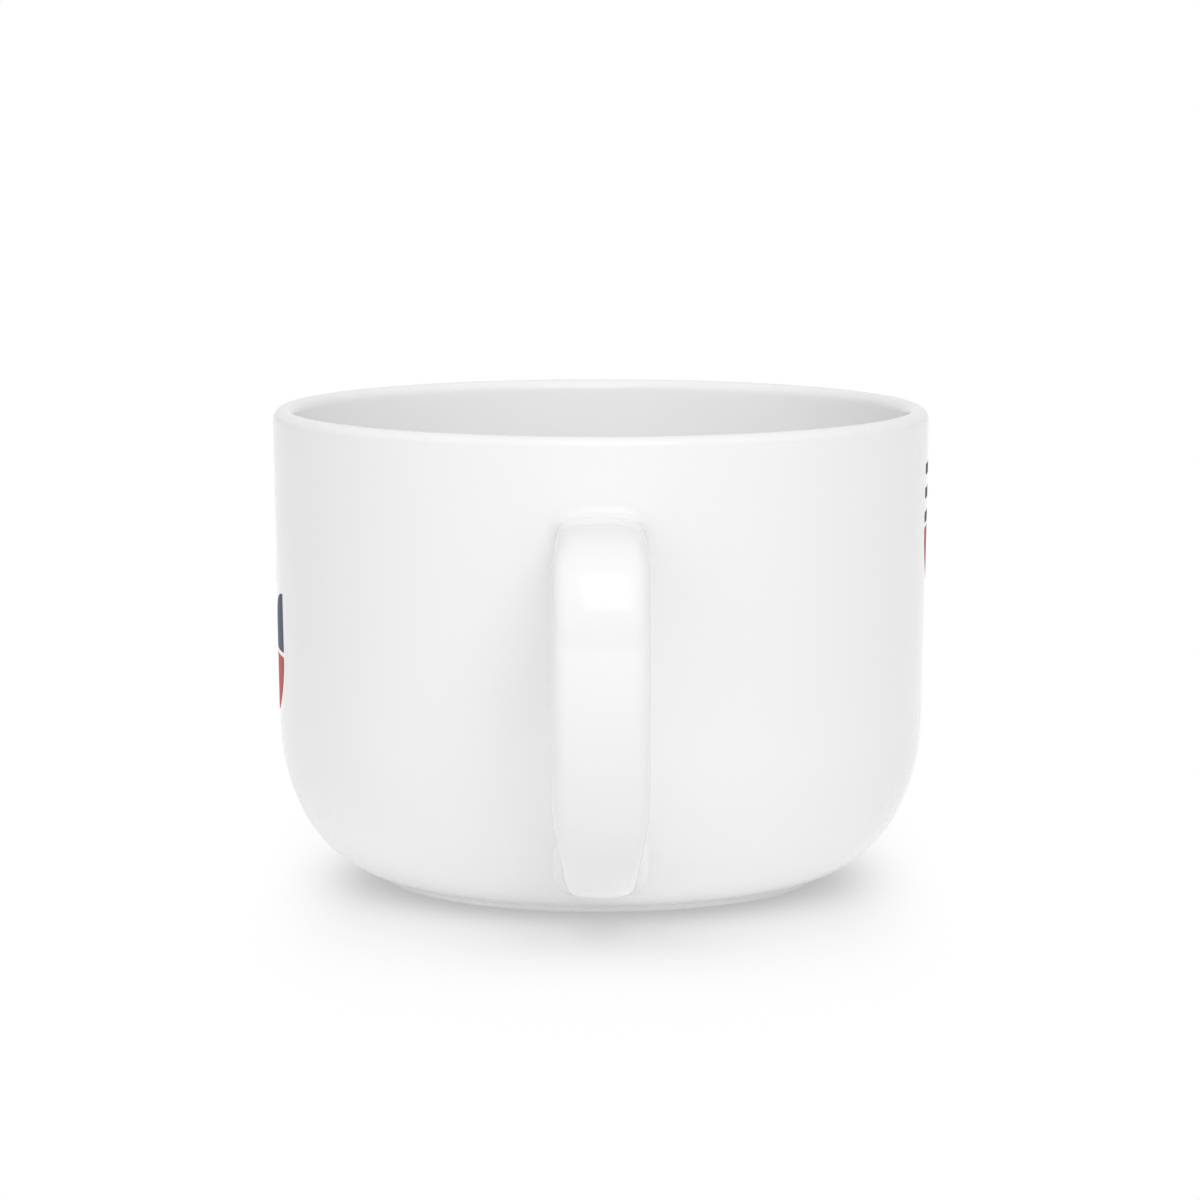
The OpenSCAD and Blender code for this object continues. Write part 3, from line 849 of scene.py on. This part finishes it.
def fire_print(context, side, name, tiles, middle_turn, material):
    """Makes one colour of a side's print: flat marks, drawn through the wall and cut to a skin on it."""
    prints = context.scene.mug_prints
    shape = BowlShape(context.scene.mug_bowl)
    marks = []
    for column, row, kind, quarters in tiles:
        mark = add_mark(kind, prints)
        mark.rotation_euler.z = quarters * QUARTER
        mark.location.x = (column - (GRID - 1) / 2) * prints.pitch
        mark.location.y = (row - (GRID - 1) / 2) * prints.pitch
        apply_transform()
        marks.append(mark)
    for mark in marks:
        mark.select_set(True)
    piece = bpy.context.object
    bpy.ops.object.join()
    piece.name = f"{side}_{name}_enamel"
    # Stood up half-way out inside the bowl, facing out, and then drawn through the wall
    outward = Matrix.Rotation(middle_turn, 3, "Z") @ X
    reach = context.scene.mug_bowl.rim_width / 2
    through = 0.6
    piece.rotation_euler = (QUARTER, 0, QUARTER + middle_turn)
    piece.location = outward * reach / 2 + Z * prints.middle
    apply_transform()
    set_mode("EDIT")
    bpy.ops.mesh.select_mode(type="FACE")
    select_mesh()
    extrude_by(outward * reach * through)
    select_mesh()
    bpy.ops.mesh.normals_make_consistent(inside=False)
    set_mode("OBJECT")

    skin = print_skin(prints, shape, middle_turn)
    deselect_objects()
    bpy.context.view_layer.objects.active = piece
    piece.select_set(True)
    cut = piece.modifiers.new("skin", "BOOLEAN")
    cut.operation, cut.solver, cut.object = "INTERSECT", "EXACT", skin
    bpy.ops.object.modifier_apply(modifier=cut.name)
    bpy.data.objects.remove(skin)
    set_mode("EDIT")
    close_mesh()
    piece.data.materials.append(material)
    put_on_frame(piece, f"{side}_print_{name}")


class MUG_OT_fire_prints(bpy.types.Operator):
    """Print the tiles of both sides, one enamel colour at a time"""
    bl_idname = "mug.fire_prints"
    bl_label = "Fire the Prints"

    def execute(self, context):
        prints, finish = context.scene.mug_prints, context.scene.mug_finish
        colours = {name: enamel(name, getattr(finish, name)) for name in ("red", "navy", "orange", "black")}
        sides = {"left": (LEFT_TILES, prints.left_turn), "right": (RIGHT_TILES, prints.right_turn)}
        for side, (layers, middle_turn) in sides.items():
            for name, tiles in layers.items():
                fire_print(context, side, name, tiles, middle_turn, colours[name])
        return {"FINISHED"}


def calculate(tree, operation, first, second=0.0):
    """The outcome of one step of arithmetic on values or sockets."""
    return add_node(tree, "Math", {0: first, 1: second}, operation=operation).outputs[0]


def by_ray(tree, falling, mirrored, seen):
    """A strength that differs for light that falls on things, for what they mirror and for what is seen."""
    path = add_node(tree, "LightPath")
    straight = calculate(tree, "MAXIMUM", path.outputs["Is Camera Ray"], path.outputs["Is Transmission Ray"])
    glossy = path.outputs["Is Glossy Ray"]
    other = add_node(tree, "Mix", {0: glossy, 2: falling, 3: mirrored}, data_type="FLOAT")
    return add_node(tree, "Mix", {0: straight, 2: other.outputs[0], 3: seen}, data_type="FLOAT").outputs[0]


def mapped(tree, value, start, end, at_start, at_end, kind="SMOOTHSTEP"):
    """A value that runs from at_start to at_end while another runs from start to end."""
    return add_node(tree, "MapRange", {
        "Value": value, "From Min": start, "From Max": end, "To Min": at_start, "To Max": at_end},
        interpolation_type=kind).outputs[0]


def white_floor(studio):
    """Matt white card. It bounces the lamps' light, and the eye sees it pure white but for a painted soft
    shade round the foot, drawn from its ambient occlusion. From below it can't be seen."""
    material, tree = new_material("matt_white_card")
    card = add_node(tree, "BsdfDiffuse", {"Color": hex_colour("#E6E6E6")})
    # Painted shade: the card's ambient occlusion darkens what the eye sees of it, deeply where the mug
    # covers
    #     # it, and a mask on the distance aside fades that painted shade out beside the mug
    sky = add_node(tree, "AmbientOcclusion", {"Distance": studio.shade_reach}).outputs["AO"]
    covered = calculate(tree, "POWER", calculate(tree, "SUBTRACT", 1, sky), studio.shade_power)
    place = add_node(tree, "TexCoord").outputs["Object"]
    aside = calculate(tree, "ABSOLUTE", add_node(tree, "SeparateXYZ", {0: place}).outputs["Y"])
    painted_shade_depth = mapped(tree, aside, studio.wash_start, studio.wash_end, studio.shade_depth, 0)
    floor_with_painted_shade = calculate(tree, "SUBTRACT", 1, calculate(tree, "MULTIPLY", covered, painted_shade_depth))
    dimmed = calculate(tree, "MULTIPLY", floor_with_painted_shade, studio.mirrored_floor)
    # Painted light: the card glows though it is no lamp, standing in for its bounce. That glow fills the
    #     # underside of the mug and is strongest round the foot
    far = add_node(tree, "VectorMath", {0: place}, operation="LENGTH").outputs["Value"]
    painted_fill_light = mapped(tree, far, studio.foot_glow, studio.foot_dark,
                  studio.floor_level + studio.foot_level, studio.floor_level)
    glow = add_node(tree, "Emission", {
        "Color": (1, 1, 1, 1), "Strength": by_ray(tree, painted_fill_light, dimmed, floor_with_painted_shade)})
    bounce = add_node(tree, "AddShader", {0: card.outputs[0], 1: glow.outputs[0]})
    # The card itself only bounces light onto the mug
    unseen = add_node(tree, "MixShader", {
        0: by_ray(tree, 0.0, 0.0, 1.0), 1: bounce.outputs[0], 2: glow.outputs[0]})
    below = add_node(tree, "NewGeometry").outputs["Backfacing"]
    clear = add_node(tree, "BsdfTransparent")
    top_only = add_node(tree, "MixShader", {0: below, 1: unseen.outputs[0], 2: clear.outputs[0]})
    add_node(tree, "OutputMaterial", {"Surface": top_only.outputs[0]})
    return material


def white_room(studio):
    """World that is white to the camera, lights the mug mostly from the front, and is mirrored mostly from
    behind it."""
    world = bpy.data.worlds.new("white_room")
    world.use_nodes = True
    tree = world.node_tree
    tree.nodes.clear()
    way = add_node(tree, "SeparateXYZ", {0: add_node(tree, "TexCoord").outputs["Generated"]}).outputs["X"]
    from_front = calculate(tree, "MULTIPLY", calculate(tree, "MAXIMUM", way, 0), studio.front_level)
    falling = calculate(tree, "ADD", from_front, studio.room_level)
    mirrored = mapped(tree, way, -1, 1, studio.mirrored_back, studio.mirrored_front, kind="LINEAR")
    room = add_node(tree, "Background", {
        "Color": (1, 1, 1, 1), "Strength": by_ray(tree, falling, mirrored, 1.0)})
    add_node(tree, "OutputWorld", {"Surface": room.outputs[0]})
    return world


def hang_lamp(scene, name, aim, turned, elevation, size, watts):
    """Hangs a rectangular lamp that faces the mug, unseen by the camera, and returns it."""
    towards = Vector((math.cos(turned) * math.cos(elevation), math.sin(turned) * math.cos(elevation),
                      math.sin(elevation)))
    data = bpy.data.lights.new(name, "AREA")
    data.shape, (data.size, data.size_y), data.energy = "RECTANGLE", size, watts
    lamp = bpy.data.objects.new(name, data)
    scene.collection.objects.link(lamp)
    lamp.location = aim + scene.mug_studio.lamp_distance * towards
    lamp.rotation_euler = towards.to_track_quat("Z", "Y").to_euler()
    lamp.visible_camera = False
    return lamp


class MUG_OT_set_studio(bpy.types.Operator):
    """Set the floor, the white room, the lamps and the camera"""
    bl_idname = "mug.set_studio"
    bl_label = "Set the Studio"

    def execute(self, context):
        scene, studio = context.scene, context.scene.mug_studio
        deselect_objects()
        # A hair under the foot, so that the two faces don't fight
        hair = 0.05 * MM
        bpy.ops.mesh.primitive_plane_add(size=studio.floor_width, location=(0, 0, -hair))
        floor = context.object
        floor.name = "floor"
        floor.data.materials.append(white_floor(studio))
        scene.world = white_room(studio)

        aim = Vector((0, -studio.aim_left, studio.aim_height))
        # The softbox is only mirrored. The other lamps only light the mug, so that no second box shows in it
        size = (studio.box_width, studio.box_height)
        softbox = hang_lamp(scene, "softbox", aim, studio.box_turn, studio.box_elevation, size,
                            studio.box_level * size[0] * size[1] * math.pi)
        softbox.visible_diffuse = False
        watts = math.pi * studio.lamp_distance ** 2
        for name, (turned, elevation) in LAMPS.items():
            lamp = hang_lamp(scene, f"{name}_lamp", aim, math.radians(turned), math.radians(elevation),
                             (studio.lamp_size, studio.lamp_size), getattr(studio, f"{name}_level") * watts)
            lamp.visible_glossy = False

        back = in_section(heading_of(studio.elevation))
        camera = bpy.data.objects.new("camera", bpy.data.cameras.new("camera"))
        camera.data.lens = studio.lens
        camera.data.clip_start, camera.data.clip_end = 0.01, 20
        scene.collection.objects.link(camera)
        camera.location = aim + studio.distance * back
        camera.rotation_euler = back.to_track_quat("Z", "Y").to_euler()
        scene.camera = camera
        scene.view_settings.view_transform = "Standard"
        return {"FINISHED"}


class MUG_PT_panel(bpy.types.Panel):
    """Sizes, colours and steps of the mug"""
    bl_idname = "MUG_PT_panel"
    bl_label = "Latte Mug"
    bl_space_type = "VIEW_3D"
    bl_region_type = "UI"
    bl_category = "Mug"

    def draw(self, context):
        for step in STEPS:
            self.layout.operator(step.bl_idname)
        for name in SETTINGS:
            box = self.layout.box()
            group = getattr(context.scene, name)
            for key in group.bl_rna.properties.keys():
                if key not in ("rna_type", "name"):
                    box.prop(group, key)


SETTINGS = {
    "mug_bowl": MugBowl,
    "mug_handle": MugHandle,
    "mug_slip": MugSlip,
    "mug_prints": MugPrints,
    "mug_finish": MugFinish,
    "mug_studio": MugStudio,
}
STEPS = [MUG_OT_turn_bowl, MUG_OT_cast_handle, MUG_OT_lute_joints, MUG_OT_fire_prints, MUG_OT_set_studio]


def register():
    """Registers the settings, the steps and the panel."""
    for name, group in SETTINGS.items():
        bpy.utils.register_class(group)
        setattr(bpy.types.Scene, name, PointerProperty(type=group))
    for step in [*STEPS, MUG_PT_panel]:
        bpy.utils.register_class(step)


def unregister():
    """Takes the panel, the steps and the settings away again."""
    for step in [MUG_PT_panel, *reversed(STEPS)]:
        bpy.utils.unregister_class(step)
    for name, group in reversed(SETTINGS.items()):
        delattr(bpy.types.Scene, name)
        bpy.utils.unregister_class(group)


def main():
    """Makes the mug and its studio."""
    register()
    bpy.ops.mug.turn_bowl()
    bpy.ops.mug.cast_handle()
    bpy.ops.mug.lute_joints()
    bpy.ops.mug.fire_prints()
    bpy.ops.mug.set_studio()


if __name__ == "__main__":
    main()
